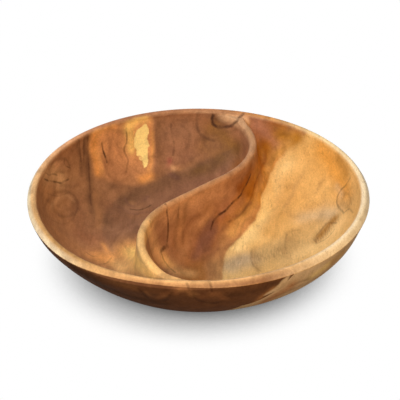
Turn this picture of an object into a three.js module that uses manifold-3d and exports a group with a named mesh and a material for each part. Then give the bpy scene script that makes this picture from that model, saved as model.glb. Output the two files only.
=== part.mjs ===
// Yin yang bowl: a round shallow dish of wood with an S-shaped divider that makes two
// comma-shaped compartments. Millimetres, +Z up, origin at the centre of the base on the table.
import * as THREE from 'three';
import { mergeVertices } from 'three/addons/utils/BufferGeometryUtils.js';
import Module from 'manifold-3d';

// Driving dimensions of the dish
const bowlDiameter = 300;
const bowlHeight = 66;
const baseDiameter = 192;
const rimThickness = 9;
const rimBandDepth = 8;
const floorThickness = 11;
const floorFlatDiameter = 160;
const wallBulge = 17;
const coveInset = 15;

// Driving dimensions of the divider
const ridgeThickness = 6.5;
const ridgeDrop = 3.5;
const ridgeTilt = 43.5;
const middleLength = 66;
const coveSpread = 56;
const coveTurn = 3.75;
const stripWidth = 32;
const frontSwing = 17;
const backSwing = 40;

// Housing in the floor and the wall that the divider is let into
const housingDepth = 3;
const clearance = 0.3;

// How far the cutting bodies reach above the rim
const headroom = 10;

// Fineness of the round surfaces, and how close two points are to count as one
const turnSteps = 72;
const curveSteps = 7;
const ridgeSteps = 44;
const samePoint = 1e-4;

// Sizes that follow from the ones above
const bowlRadius = bowlDiameter / 2;
const baseRadius = baseDiameter / 2;
const floorFlatRadius = floorFlatDiameter / 2;
const rimRound = rimThickness / 2;
const rimMiddle = bowlRadius - rimRound;
const rimInner = bowlRadius - rimThickness;
const rimSpring = bowlHeight - rimRound;
const ridgeTop = bowlHeight - ridgeDrop;
const ridgeRound = ridgeThickness / 2;
const coveHalf = coveSpread / 2;

const wasm = await Module();
wasm.setup();

// A closed three.js geometry as a solid that can be joined and cut
function solidFrom(geometry) {
  geometry.deleteAttribute('normal');
  geometry.deleteAttribute('uv');
  const merged = mergeVertices(geometry, samePoint);
  const vertProperties = new Float32Array(merged.attributes.position.array);
  const triVerts = new Uint32Array(merged.index.array);
  const mesh = new wasm.Mesh({ numProp: 3, vertProperties, triVerts });
  mesh.merge();
  return new wasm.Manifold(mesh);
}

// A solid back as a geometry for a mesh
function geometryFrom(solid) {
  const mesh = solid.getMesh();
  const geometry = new THREE.BufferGeometry();
  geometry.setAttribute('position', new THREE.BufferAttribute(mesh.vertProperties, 3));
  geometry.setIndex(new THREE.BufferAttribute(mesh.triVerts, 1));
  geometry.computeVertexNormals();
  return geometry;
}

// A profile drawn as radius and height, turned about the Z axis
function turned(profile) {
  const points = profile.getPoints(curveSteps);
  const geometry = new THREE.LatheGeometry(points, turnSteps);
  geometry.rotateX(Math.PI / 2);
  return solidFrom(geometry);
}

// The dish before the housing is cut: base, curved wall, full-round rim, cove and floor
function dishBlank() {
  const wallTop = new THREE.Vector2(bowlRadius, bowlHeight - rimBandDepth);
  const wallFoot = new THREE.Vector2(baseRadius, 0);
  const chord = wallTop.clone().sub(wallFoot);
  const outward = new THREE.Vector2(chord.y, -chord.x).normalize();
  const turn = wallFoot.clone().lerp(wallTop, 0.5).addScaledVector(outward, wallBulge);
  const profile = new THREE.Path();
  profile.moveTo(0, 0);
  profile.lineTo(baseRadius, 0);
  profile.quadraticCurveTo(turn.x, turn.y, wallTop.x, wallTop.y);
  profile.lineTo(bowlRadius, rimSpring);
  profile.absarc(rimMiddle, rimSpring, rimRound, 0, Math.PI, false);
  profile.quadraticCurveTo(rimInner - coveInset, floorThickness, floorFlatRadius, floorThickness);
  profile.lineTo(0, floorThickness);
  return turned(profile);
}

// The space inside the dish, sunk into the wood by a depth and open above the rim
function hollow(depth) {
  const floor = floorThickness - depth;
  const wall = rimInner + depth;
  const profile = new THREE.Path();
  profile.moveTo(0, floor);
  profile.lineTo(floorFlatRadius, floor);
  profile.quadraticCurveTo(wall - coveInset, floor, wall, rimSpring);
  profile.lineTo(wall, bowlHeight + headroom);
  profile.lineTo(0, bowlHeight + headroom);
  return turned(profile);
}

// One half of the S: from the centre straight along a heading, then round its lobe into the rim
function makeLobe(heading, swing) {
  const straight = middleLength / 2;
  const reach = rimInner + swing;
  const radius = (reach ** 2 - straight ** 2) / (2 * reach);
  const centreDistance = Math.hypot(straight, radius);
  const rise = (rimMiddle ** 2 - centreDistance ** 2 - radius ** 2) / (2 * radius);
  const sweep = Math.atan2(radius, straight) + Math.asin(rise / centreDistance);
  const along = new THREE.Vector3(Math.cos(heading), Math.sin(heading), 0);
  const left = new THREE.Vector3(-along.y, along.x, 0);
  return { straight, radius, along, left, length: straight + radius * sweep };
}

// The point of a lobe at a distance from the centre of the bowl, measured along the S
function pointOnLobe(lobe, distance) {
  const angle = Math.max(distance - lobe.straight, 0) / lobe.radius;
  const forward = Math.min(distance, lobe.straight) + lobe.radius * Math.sin(angle);
  const sideways = lobe.radius * (1 - Math.cos(angle));
  return lobe.along.clone().multiplyScalar(forward).addScaledVector(lobe.left, sideways);
}

// The whole S from its front end to its back end, lying in the plane of the base
class RidgeLine extends THREE.Curve {
  constructor() {
    super();
    const tilt = THREE.MathUtils.degToRad(ridgeTilt);
    this.front = makeLobe(tilt + Math.PI, frontSwing);
    this.back = makeLobe(tilt, backSwing);
  }

  getPoint(share, target = new THREE.Vector3()) {
    const distance = share * (this.front.length + this.back.length) - this.front.length;
    const lobe = distance < 0 ? this.front : this.back;
    return target.copy(pointOnLobe(lobe, Math.abs(distance)));
  }
}
const ridgeLine = new RidgeLine();

// The S with both of its ends moved out by a gap, then set off to its left by a distance
function stripEdge(gap, offset) {
  const edge = [];
  for (let step = 0; step <= ridgeSteps; step += 1) {
    const along = ridgeLine.getTangentAt(step / ridgeSteps);
    const point = ridgeLine.getPointAt(step / ridgeSteps);
    if (step === 0) point.addScaledVector(along, -gap);
    if (step === ridgeSteps) point.addScaledVector(along, gap);
    edge.push(new THREE.Vector2(point.x - along.y * offset, point.y + along.x * offset));
  }
  return edge;
}

// The strip of the plan that the divider takes up, as an upright block, wider all round by a gap
function stripBlock(gap) {
  const half = stripWidth / 2 + gap;
  const outline = new THREE.Shape([...stripEdge(gap, -half), ...stripEdge(gap, half).reverse()]);
  const depth = bowlHeight + headroom;
  return solidFrom(new THREE.ExtrudeGeometry(outline, { depth, bevelEnabled: false }));
}

// The divider's section: a round-topped ridge whose two sides run out in coves onto the floor.
// It is drawn with its height along -x and its width along y, as it is swept along the S.
function ridgeSection() {
  const section = new THREE.Shape();
  const shoulder = ridgeTop - ridgeRound;
  const coveWidth = ridgeRound + coveTurn;
  section.moveTo(0, -coveHalf);
  section.lineTo(-floorThickness, -coveHalf);
  section.quadraticCurveTo(-floorThickness, -coveWidth, -shoulder, -ridgeRound);
  section.absarc(-shoulder, 0, ridgeRound, -Math.PI / 2, Math.PI / 2, true);
  section.quadraticCurveTo(-floorThickness, coveWidth, -floorThickness, coveHalf);
  section.lineTo(0, coveHalf);
  return section;
}

// The ridge with its coved sides, swept along the S
function ridgeBody() {
  const sweep = { steps: ridgeSteps, curveSegments: curveSteps, extrudePath: ridgeLine };
  return solidFrom(new THREE.ExtrudeGeometry(ridgeSection(), sweep));
}

// The carved form is parted at the housing, which the shell gets with the clearance added
const carved = dishBlank().add(ridgeBody().intersect(hollow(housingDepth)));
const housing = stripBlock(0).intersect(hollow(housingDepth));
const housingCut = stripBlock(clearance).intersect(hollow(housingDepth + clearance));
const shellSolid = carved.subtract(housingCut);
const dividerSolid = carved.intersect(housing);

// Oiled wood
function wood(color) {
  return new THREE.MeshStandardMaterial({ color, roughness: 0.5, metalness: 0 });
}

const bowl = new THREE.Group();
const pieces = [
  ['bowl_shell', shellSolid, 0xa86c3c],
  ['s_divider', dividerSolid, 0xb8793f],
];
pieces.forEach(([name, solid, color]) => {
  const mesh = new THREE.Mesh(geometryFrom(solid), wood(color));
  mesh.name = name;
  bowl.add(mesh);
});

export default bowl;
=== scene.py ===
# %% [markdown]
# Yin yang bowl
#
# This lesson dresses a carved teak bowl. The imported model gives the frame: where the bowl
# stands, how wide and how high it is. Every piece made here lies in that same frame, in metres,
# with +Z up and the middle of the base at the origin.

# %% Load the frame
import math

import bmesh
import bpy
import numpy as np
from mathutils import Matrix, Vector
from mathutils.bvhtree import BVHTree


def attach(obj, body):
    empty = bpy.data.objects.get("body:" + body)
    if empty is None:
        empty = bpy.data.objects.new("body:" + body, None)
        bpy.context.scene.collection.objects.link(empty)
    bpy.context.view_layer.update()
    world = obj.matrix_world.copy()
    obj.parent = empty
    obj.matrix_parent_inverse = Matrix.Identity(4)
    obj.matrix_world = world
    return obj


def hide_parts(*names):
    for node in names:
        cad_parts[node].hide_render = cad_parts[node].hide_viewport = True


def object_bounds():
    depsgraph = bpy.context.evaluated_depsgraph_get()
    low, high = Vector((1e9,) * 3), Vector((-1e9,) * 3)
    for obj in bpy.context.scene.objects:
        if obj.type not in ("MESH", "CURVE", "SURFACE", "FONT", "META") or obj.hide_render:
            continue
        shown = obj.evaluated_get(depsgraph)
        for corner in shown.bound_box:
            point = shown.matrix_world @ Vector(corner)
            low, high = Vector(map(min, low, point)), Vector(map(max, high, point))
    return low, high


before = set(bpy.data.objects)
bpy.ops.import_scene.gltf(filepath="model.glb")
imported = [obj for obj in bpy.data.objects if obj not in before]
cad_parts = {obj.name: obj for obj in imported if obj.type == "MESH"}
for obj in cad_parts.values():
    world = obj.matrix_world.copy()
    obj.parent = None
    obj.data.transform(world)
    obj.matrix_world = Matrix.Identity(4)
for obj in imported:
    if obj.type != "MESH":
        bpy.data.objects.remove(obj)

cad_low, cad_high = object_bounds()
bowl_radius = (cad_high[0] - cad_low[0]) / 2
bowl_height = cad_high[2] - cad_low[2]
mm = 0.001
print("bowl", round(2 * bowl_radius, 4), "m across and", round(bowl_height, 4), "m high")

# %% [markdown]
# The line of the divider
#
# Seen from above, the divider is an S: a straight middle that turns left into a round lobe at
# each end, until it runs into the rim. A drawn curve would do, but a straight and two arcs have
# an exact distance to any point of the plan, and the carving below is a function of that distance.

# %% Two lobes and a straight
rim_thickness = 9 * mm
rim_inner = bowl_radius - rim_thickness
rim_middle = bowl_radius - rim_thickness / 2
ridge_tilt = math.radians(43.5)
straight_half = 33 * mm
ridge_along = np.array([math.cos(ridge_tilt), math.sin(ridge_tilt)])
ridge_left = np.array([-ridge_along[1], ridge_along[0]])


def make_lobe(swing, side):
    """One end of the S: side is 1 for the back end and -1 for the front end."""
    reach = rim_inner + swing
    radius = (reach ** 2 - straight_half ** 2) / (2 * reach)
    from_axis = math.hypot(straight_half, radius)
    rise = (rim_middle ** 2 - from_axis ** 2 - radius ** 2) / (2 * radius)
    sweep = math.atan2(radius, straight_half) + math.asin(rise / from_axis)
    centre = side * (straight_half * ridge_along + radius * ridge_left)
    return {"side": side, "radius": radius, "sweep": sweep, "centre": centre}


front_lobe = make_lobe(17 * mm, -1)
back_lobe = make_lobe(40 * mm, 1)
front_length = straight_half + front_lobe["radius"] * front_lobe["sweep"]
back_length = straight_half + back_lobe["radius"] * back_lobe["sweep"]
print("lobe radii", round(front_lobe["radius"], 4), round(back_lobe["radius"], 4))

# %% Place of a point beside the S
past_end = math.radians(20)


def lobe_place(lobe, x, y):
    """Distance to the left of the S and distance along it, for points beside one lobe."""
    aside_x = x - lobe["centre"][0]
    aside_y = y - lobe["centre"][1]
    ahead = lobe["side"] * (aside_x * ridge_along[0] + aside_y * ridge_along[1])
    out = -lobe["side"] * (aside_x * ridge_left[0] + aside_y * ridge_left[1])
    angle = np.arctan2(ahead, out)
    angle = np.where(angle < -math.pi / 2, angle + 2 * math.pi, angle)
    left = lobe["side"] * (lobe["radius"] - np.hypot(ahead, out))
    along = lobe["side"] * (straight_half + lobe["radius"] * angle)
    return left, along, (angle > 0) & (angle < lobe["sweep"] + past_end)


def ridge_place(x, y):
    """Distance to the left of the S, and distance along it from the middle of the bowl."""
    along = x * ridge_along[0] + y * ridge_along[1]
    left = x * ridge_left[0] + y * ridge_left[1]
    best = np.where(np.abs(along) <= straight_half, left, 1.0)
    for lobe in (front_lobe, back_lobe):
        lobe_left, lobe_along, ahead = lobe_place(lobe, x, y)
        nearer = ahead & (np.abs(lobe_left) < np.abs(best))
        best = np.where(nearer, lobe_left, best)
        along = np.where(nearer, lobe_along, along)
    return best, along


def ridge_point(along):
    """Point of the S and its direction to the left, at distances from the middle of the bowl."""
    side = np.where(along < 0, -1.0, 1.0)
    radius = np.where(along < 0, front_lobe["radius"], back_lobe["radius"])
    angle = np.maximum(np.abs(along) - straight_half, 0) / radius
    ahead = side * (np.minimum(np.abs(along), straight_half) + radius * np.sin(angle))
    aside = side * radius * (1 - np.cos(angle))
    point = ahead[:, None] * ridge_along + aside[:, None] * ridge_left
    left = np.cos(angle)[:, None] * ridge_left - np.sin(angle)[:, None] * ridge_along
    return point, left


ends, _ = ridge_point(np.array([-front_length, back_length]))
print("the S ends at", np.round(ends, 3).tolist())

# %% [markdown]
# The carved inside
#
# A carver hollows both compartments with a gouge and then sands the valleys round. The height of
# the inside is one function of the plan: the dish, the ridge, and the higher of the two, blended
# so that every valley becomes a cove. A boolean of two solids would leave a hard crease there.

# %% Sections of the dish and of the ridge
floor_height = 11 * mm
floor_flat = 80 * mm
cove_inset = 15 * mm
rim_round = rim_thickness / 2
rim_spring = bowl_height - rim_round
ridge_top = bowl_height - 3.5 * mm
ridge_round = 3.6 * mm
ridge_foot = 28 * mm
cove_turn = 3.75 * mm


def bezier(start, control, end, count):
    """Points of a quadratic curve."""
    t = np.linspace(0, 1, count)[:, None]
    first = (1 - t) ** 2 * np.array(start)
    middle = 2 * t * (1 - t) * np.array(control)
    return first + middle + t ** 2 * np.array(end)


def even_steps(line, count):
    """Points at even distances along a bent line."""
    run = np.concatenate([[0], np.cumsum(np.hypot(*np.diff(line, axis=0).T))])
    steps = np.linspace(0, run[-1], count)
    return np.stack([np.interp(steps, run, line[:, 0]), np.interp(steps, run, line[:, 1])], axis=-1)


section_points = 600
wall_cove = bezier(
    (floor_flat, floor_height),
    (rim_inner - cove_inset, floor_height),
    (rim_inner, rim_spring),
    section_points,
)
ridge_cove = bezier(
    (ridge_round, ridge_top - ridge_round),
    (ridge_round + cove_turn, floor_height),
    (ridge_foot, floor_height),
    section_points,
)
print("the ridge stands", round(ridge_top - floor_height, 4), "m above the floor")


def dish_height(radius):
    """Height of the inside without its divider, over the top of the rim as well."""
    low = np.interp(radius, wall_cove[:, 0], wall_cove[:, 1])
    over = np.clip(radius - rim_middle, -rim_round, rim_round)
    high = rim_spring + np.sqrt(np.maximum(rim_round ** 2 - over ** 2, 0))
    return np.where(radius > rim_inner, high, low)


def ridge_height(across):
    """Height of the divider at a distance from its middle line."""
    near = np.minimum(across, ridge_round)
    top = ridge_top - ridge_round + np.sqrt(np.maximum(ridge_round ** 2 - near ** 2, 0))
    side = np.interp(across, ridge_cove[:, 0], ridge_cove[:, 1])
    return np.where(across < ridge_round, top, side) - np.maximum(across - ridge_foot, 0)


def soft_step(value, low, high):
    """0 below low, 1 above high and smooth between."""
    t = np.clip((value - low) / (high - low), 0, 1)
    return t * t * (3 - 2 * t)


# %% Height of the inside
valley_fillet = 14 * mm
top_fillet = 7 * mm
top_start = 0.5 * bowl_height
top_end = 0.95 * bowl_height
end_fillet = 40 * mm
end_near = 5 * mm
end_far = 62 * mm
end_spread = 1.4
end_fade = 20 * mm
crown_fillet = 3 * mm
least_fillet = 0.01 * mm


def smooth_maximum(first, second, fillet):
    """The higher of two heights, with a fillet where they cross."""
    share = np.clip(0.5 + 0.5 * (second - first) / fillet, 0, 1)
    return first + (second - first) * share + fillet * share * (1 - share)


def near_end(x, y):
    """1 where the S runs into the rim, 0 away from there."""
    gaps = [np.hypot(x - end[0], y - end[1]) for end in ends]
    return 1 - soft_step(np.minimum(*gaps), end_near, end_far)


def inner_height(x, y):
    """Height of the carved inside at points of the plan."""
    at_end = near_end(x, y)
    left, along = ridge_place(x, y)
    past = np.maximum(np.maximum(along - back_length, -front_length - along), 0)
    flank = np.maximum(np.abs(left) - ridge_round, 0) / (1 + end_spread * at_end)
    across = np.minimum(np.abs(left), ridge_round) + flank
    dish = dish_height(np.hypot(x, y))
    ridge = ridge_height(across) - past ** 2 / (past + end_fade)
    rise = soft_step(np.maximum(dish, ridge), top_start, top_end)
    fillet = valley_fillet + (top_fillet - valley_fillet) * rise
    fillet = fillet + (end_fillet - fillet) * at_end
    on_flank = 1 - soft_step(across, 0.5 * ridge_foot, ridge_foot)
    fillet = np.maximum(fillet * on_flank, least_fillet)
    height = smooth_maximum(dish, ridge, fillet)
    crown = np.maximum(dish, ridge_top)
    return -smooth_maximum(-height, -crown, crown_fillet * at_end + least_fillet)


floor_sample = inner_height(np.array([50 * mm]), np.array([-30 * mm]))
print("the right compartment is carved down to", round(float(floor_sample[0]), 4), "m")

# %% [markdown]
# The shell
#
# The outside is turned on a lathe, so the shell is a stack of rings: under the base, up the wall,
# over the rounded rim and down the inside, where each point takes the carved height. In the strip
# that the divider covers, the shell is sunk by the depth of the divider's housing.

# %% Rings of the shell
base_radius = 96 * mm
wall_top = bowl_height - 4.6 * mm
wall_bulge = 17 * mm
edge_half = 0.8 * mm
edge_start = (bowl_radius - 0.3 * mm, wall_top - edge_half)
edge_end = (bowl_radius - 0.7 * mm, wall_top + edge_half)
bevel_turn = (rim_middle + 1.6 * mm, bowl_height)
base_hub = 12 * mm
floor_hub = 2 * mm
housing_depth = 3 * mm
strip_half = 16 * mm
strip_reach = rim_inner + 2.7 * mm
step_radii = [strip_reach + 0.05 * mm, strip_reach - 0.4 * mm]
columns = 900
base_count = 12
wall_count = 44
edge_count = 12
bevel_count = 40
rim_count = 12
inner_count = 190

chord = np.array([bowl_radius - base_radius, wall_top])
outward = np.array([chord[1], -chord[0]]) / np.hypot(*chord)
wall_control = np.array([base_radius, 0]) + chord / 2 + outward * wall_bulge
base_rings = [(radius, 0.0) for radius in np.linspace(base_hub, base_radius, base_count)[:-1]]
wall_rings = bezier((base_radius, 0), wall_control, edge_start, wall_count)
edge_rings = bezier(edge_start, (bowl_radius, wall_top), edge_end, edge_count)
bevel_rings = bezier(edge_end, bevel_turn, (rim_middle, bowl_height), bevel_count)
outer_rings = np.array([*base_rings, *wall_rings[:-1], *edge_rings, *bevel_rings[1:]])
rim_angles = np.linspace(0, math.pi / 2, rim_count)
inside_line = np.vstack([[(floor_hub, floor_height)], wall_cove])
inner_radii = np.concatenate([
    rim_middle - rim_round * np.sin(rim_angles[1:]),
    step_radii,
    even_steps(inside_line, inner_count)[:-1, 0],
])
inner_radii = np.sort(inner_radii)[::-1]
print(len(outer_rings), "rings outside and", len(inner_radii), "inside, of", columns, "points each")

# %% Small departures of a bowl that was carved by eye
front_drop = 1.0 * mm
rim_dip = 4.2 * mm
slim_share = 0.016
full_share = 0.012
below_share = 0.8
# Bearings in degrees, each with the width of its bump
dip_side = (-140, 34)
slim_side = (-115, 40)
full_side = (-35, 30)
# Radii and heights between which a departure sets in
rim_radii = (105 * mm, 138 * mm)
rim_heights = (18 * mm, 60 * mm)
wall_radii = (97 * mm, 104 * mm)
foot_heights = (1 * mm, 14 * mm)
shoulder_heights = (38 * mm, 56 * mm)


def bump(turn, middle, width):
    """1 at a bearing round the bowl, falling to 0 beside it; all in degrees."""
    gap = (turn - middle + 180) % 360 - 180
    return np.exp(-(gap / width) ** 2)


def rim_drop(turn):
    """How much lower the rim was carved at a bearing round the bowl."""
    to_front = 0.5 - 0.5 * np.sin(np.radians(turn))
    return front_drop * to_front + rim_dip * bump(turn, *dip_side)


def hand_carved(points):
    """Points with the rim lower at the front left, and the outer wall slimmer in front of it."""
    x, y, z = points.T
    radius = np.hypot(x, y)
    turn = np.degrees(np.arctan2(y, x))
    high = soft_step(radius, *rim_radii) * soft_step(z, *rim_heights)
    slim = slim_share * bump(turn, *slim_side) - full_share * bump(turn, *full_side)
    outside = soft_step(radius, *wall_radii) * (z < below_share * dish_height(radius))
    low_wall = outside * soft_step(z, *foot_heights) * (1 - soft_step(z, *shoulder_heights))
    scale = 1 - slim * low_wall
    return np.stack([x * scale, y * scale, z - rim_drop(turn) * high], axis=-1)


print("at the front left the rim lies", round(float(rim_drop(dip_side[0])), 4), "m lower")

# %% Mesh of the shell
sink_start = 2.2 * mm
sink_end = 5 * mm
crease = math.radians(45)


def new_piece(name, points, faces):
    """A mesh object at the origin of the frame."""
    mesh = bpy.data.meshes.new(name)
    mesh.from_pydata(points.tolist(), [], faces)
    mesh.update()
    piece = bpy.data.objects.new(name, mesh)
    bpy.context.scene.collection.objects.link(piece)
    return piece


def housing_sink(x, y):
    """How far the shell is sunk under the divider, 0 outside the strip and 1 in its middle."""
    left, along = ridge_place(x, y)
    to_end = np.minimum(along + front_length, back_length - along)
    margin = np.minimum(strip_half - np.abs(left), to_end)
    return np.where(np.hypot(x, y) < strip_reach, soft_step(margin, sink_start, sink_end), 0)


def shell_points():
    """Points of all rings, with one more at the middle of the base and of the floor."""
    turn = np.linspace(0, 2 * math.pi, columns, endpoint=False)
    radii = np.concatenate([outer_rings[:, 0], inner_radii])
    x = radii[:, None] * np.cos(turn)
    y = radii[:, None] * np.sin(turn)
    inside = slice(len(outer_rings), None)
    z = np.empty_like(x)
    z[:len(outer_rings)] = outer_rings[:, 1][:, None]
    carved = inner_height(x[inside], y[inside])
    dish = dish_height(np.hypot(x[inside], y[inside]))
    bed = np.minimum(carved, dish) - housing_depth
    z[inside] = carved + (bed - carved) * housing_sink(x[inside], y[inside])
    grid = hand_carved(np.stack([x, y, z], axis=-1).reshape(-1, 3))
    return np.vstack([grid, [0, 0, 0], [0, 0, floor_height - housing_depth]])


def shell_faces(rings):
    """Quads between the rings and fans round the two middle points."""
    index = np.arange(rings * columns).reshape(rings, columns)
    after = np.roll(index, -1, axis=1)
    quads = np.stack([index[:-1], after[:-1], after[1:], index[1:]], axis=-1).reshape(-1, 4)
    under = [(int(b), int(a), rings * columns) for a, b in zip(index[0], after[0])]
    floor = [(int(a), int(b), rings * columns + 1) for a, b in zip(index[-1], after[-1])]
    return quads.tolist() + under + floor


def smooth(piece):
    """Rounds the shading, but for the edges where a piece was cut."""
    piece.data.polygons.foreach_set("use_smooth", [True] * len(piece.data.polygons))
    piece.data.set_sharp_from_angle(angle=crease)


shell = new_piece("carved_shell", shell_points(), shell_faces(len(outer_rings) + len(inner_radii)))
print("shell has", len(shell.data.polygons), "faces")

# %% [markdown]
# The divider
#
# The divider is meshed along its own S, in rows across it, so that its round top stays clean on
# every turn. Its upper face is the carved height again, so no step shows where it meets the shell,
# and its lower face lies in the housing. Where the strip runs into the rim, the rows are cut short.

# %% Mesh of the divider
stations = 420
top_count = 25
flank_count = 60
bed_gap = 0.3 * mm
weld_reach = 0.02 * mm
least_edge = 0.01 * mm


def divider_rows():
    """Plan points of the strip: one row of offsets for each station along the S."""
    along = np.linspace(-front_length, back_length, stations)
    point, left = ridge_point(along)
    near = np.linspace(-1, 1, top_count) * ridge_round
    flank = ridge_cove[ridge_cove[:, 0] < strip_half]
    far = np.append(even_steps(flank, flank_count)[1:, 0], strip_half)
    offsets = np.concatenate([-far[::-1], near, far])
    # Each row ends where it crosses the circle that the strip reaches to
    middle = (point * left).sum(1)
    inside = np.maximum(middle ** 2 - (point ** 2).sum(1) + strip_reach ** 2, 0)
    low = -middle - np.sqrt(inside)
    high = -middle + np.sqrt(inside)
    rows = np.clip(offsets[None, :], low[:, None], high[:, None])
    return point[:, None, :] + rows[..., None] * left[:, None, :]


def divider_mesh():
    """Upper face, bed and the sides between them."""
    plan = divider_rows()
    rows, width = plan.shape[:2]
    x, y = plan[..., 0], plan[..., 1]
    top = np.stack([x, y, inner_height(x, y)], axis=-1).reshape(-1, 3)
    bed_height = dish_height(np.hypot(x, y)) - housing_depth + bed_gap
    bed = np.stack([x, y, bed_height], axis=-1).reshape(-1, 3)
    index = np.arange(rows * width).reshape(rows, width)
    corners = [index[:-1, 1:], index[:-1, :-1], index[1:, :-1], index[1:, 1:]]
    cells = np.stack(corners, axis=-1).reshape(-1, 4)
    edge = np.concatenate([index[0, :-1], index[:-1, -1], index[-1, :0:-1], index[:0:-1, 0]])
    after = np.roll(edge, -1)
    below = rows * width
    sides = np.stack([edge, after, after + below, edge + below], axis=-1)
    faces = np.concatenate([cells, cells[:, ::-1] + below, sides])
    return hand_carved(np.vstack([top, bed])), faces.tolist()


def weld(piece):
    """Joins the points that the rim cut together and turns all faces outward."""
    work = bmesh.new()
    work.from_mesh(piece.data)
    bmesh.ops.remove_doubles(work, verts=work.verts, dist=weld_reach)
    bmesh.ops.dissolve_degenerate(work, edges=work.edges, dist=least_edge)
    bmesh.ops.recalc_face_normals(work, faces=work.faces)
    open_edges = sum(1 for edge in work.edges if len(edge.link_faces) != 2)
    work.to_mesh(piece.data)
    work.free()
    return open_edges


divider = new_piece("carved_divider", *divider_mesh())
print("divider: open edges", weld(divider), "faces", len(divider.data.polygons))
print("shell: open edges", weld(shell))
for piece in (divider, shell):
    smooth(piece)

# %% [markdown]
# Camera
#
# A long lens from the front, at the height of a person who sits at the table. The camera stands
# before the figure of the wood is drawn, because the figure is drawn as it shows from here.

# %% Camera of the photo
camera_target = np.array([1.4, 0, 49.8]) * mm
camera_distance = 1063 * mm
camera_height = math.radians(31.4)
sight_ahead = np.array([0, math.cos(camera_height), -math.sin(camera_height)])
sight_up = np.array([0, math.sin(camera_height), math.cos(camera_height)])
sight_right = np.array([1, 0, 0])

camera = bpy.data.objects.new("camera", bpy.data.cameras.new("camera"))
bpy.context.scene.collection.objects.link(camera)
camera.data.lens = 108
camera.data.sensor_width = 36
camera.location = camera_target - camera_distance * sight_ahead
camera.rotation_euler = (math.pi / 2 - camera_height, 0, 0)
bpy.context.scene.camera = camera
bpy.context.scene.view_settings.view_transform = "Standard"
print("camera at", [round(value, 3) for value in camera.location])

# %% [markdown]
# Figure of the wood
#
# One block of teak was carved, so its figure runs through both pieces. A grainer brushes the
# figure of a rare wood onto plain boards with a few stains, and this lesson does the same. Each
# stroke was drawn over the photo. Its path is written in pixels and is cast through the
# camera onto the carved wood, where its width is in millimetres. The colours are stored on the
# points of the mesh, and so are the distances to edges and lines. The shader makes crisp edges
# out of distances, which a painted colour cannot give, because it is smeared between the points.

# %% From a pixel of the photo to a place on the wood
photo_side = 400
pixel_span = camera.data.sensor_width / camera.data.lens / photo_side
graph = bpy.context.evaluated_depsgraph_get()
carved_wood = [BVHTree.FromObject(piece, graph) for piece in (shell, divider)]


def on_wood(pixel):
    """Place on the wood, in millimetres, that shows at a pixel from the left and from the top."""
    aside = (pixel[0] - photo_side / 2) * pixel_span
    above = (photo_side / 2 - pixel[1]) * pixel_span
    ray = Vector(sight_ahead + aside * sight_right + above * sight_up).normalized()
    hits = [tree.ray_cast(camera.location, ray) for tree in carved_wood]
    nearest = min((hit for hit in hits if hit[0] is not None), key=lambda hit: hit[3])
    return np.array(nearest[0]) / mm


def smooth_path(corners, parts=6):
    """A bent line rounded through its corners."""
    if len(corners) < 3:
        return corners
    first = 2 * corners[0] - corners[1]
    last = 2 * corners[-1] - corners[-2]
    padded = np.vstack([first, corners, last])
    share = (np.arange(parts) / parts)[:, None]
    rounded = []
    for before, start, end, after in zip(padded, padded[1:], padded[2:], padded[3:]):
        slope = end - before
        bend = 2 * before - 5 * start + 4 * end - after
        twist = 3 * start - before - 3 * end + after
        rounded.append(start + 0.5 * (slope * share + bend * share ** 2 + twist * share ** 3))
    return np.vstack([*rounded, corners[-1:]])


def wood_path(pixels):
    """The path of a stroke on the wood."""
    return smooth_path(np.array([on_wood(pixel) for pixel in pixels]))


photo_middle = (photo_side / 2, photo_side / 2)
print("the middle of the photo shows the wood at", np.round(on_wood(photo_middle)).tolist())

# %% Colours as numbers


def linear(color):
    """A colour read off a screen, as the linear colour that a shader takes."""
    shares = np.array(color) / 255
    return np.where(shares <= 0.04045, shares / 12.92, ((shares + 0.055) / 1.055) ** 2.4)


def color_row(values, stops):
    """Colours along a row of stops, each a value and a colour."""
    places = [place for place, _ in stops]
    colors = np.array([linear(color) for _, color in stops])
    return np.stack([np.interp(values, places, colors[:, part]) for part in range(3)], axis=-1)


print("half grey on a screen is", round(float(linear((128, 128, 128))[0]), 3), "of white for a shader")

# %% Soft strokes on points
far_away = 1e3
least_span = 1e-9
stroke_fade = 1.3
wander_length = 14
wander_size = 1.2


def path_distance(points, path, reach):
    """Distance to a bent line for the points within a reach of its box, and a large one for others."""
    close = np.all((points > path.min(axis=0) - reach) & (points < path.max(axis=0) + reach), axis=1)
    near = points[close]
    best = np.full(len(near), far_away)
    for start, end in zip(path[:-1], path[1:]):
        span = end - start
        share = np.clip((near - start) @ span / max(span @ span, least_span), 0, 1)
        best = np.minimum(best, np.linalg.norm(near - start - share[:, None] * span, axis=1))
    gaps = np.full(len(points), far_away)
    gaps[close] = best
    return gaps


def stroke_weight(points, half_width, share, pixels):
    """How much of a soft stroke lies on points."""
    gap = path_distance(points, wood_path(pixels), 3 * half_width)
    return share * np.exp(-(gap / half_width) ** 2 / stroke_fade)


def paint(tint, points, strokes):
    """Lays soft strokes over the colours of points."""
    for color_name, half_width, share, pixels in strokes:
        weight = stroke_weight(points, half_width, share, pixels)
        tint += weight[:, None] * (linear(stains_and_painted_light[color_name]) - tint)


def wander(points):
    """Points moved about by a millimetre or two, so that what is painted on them wanders."""
    # Uneven factors keep the waves from falling into step
    x, y, z = points.T / wander_length
    aside = np.sin(2.1 * y + 1.3 * np.sin(1.7 * z + 0.8 * x)) + 0.5 * np.sin(4.3 * z + 2 * x)
    ahead = np.sin(1.9 * z + 1.1 * np.sin(2.3 * x + 0.5)) + 0.5 * np.sin(3.7 * x + 1.5 * y)
    up = np.sin(2.3 * x + 1.2 * np.sin(1.3 * y + 2.0)) + 0.5 * np.sin(4.1 * y + z)
    return points + wander_size * np.stack([aside, ahead, up], axis=-1)


half_left = math.sqrt(stroke_fade * math.log(2))
print("half of a stroke is left at", round(half_left, 2), "of its half width")

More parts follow.
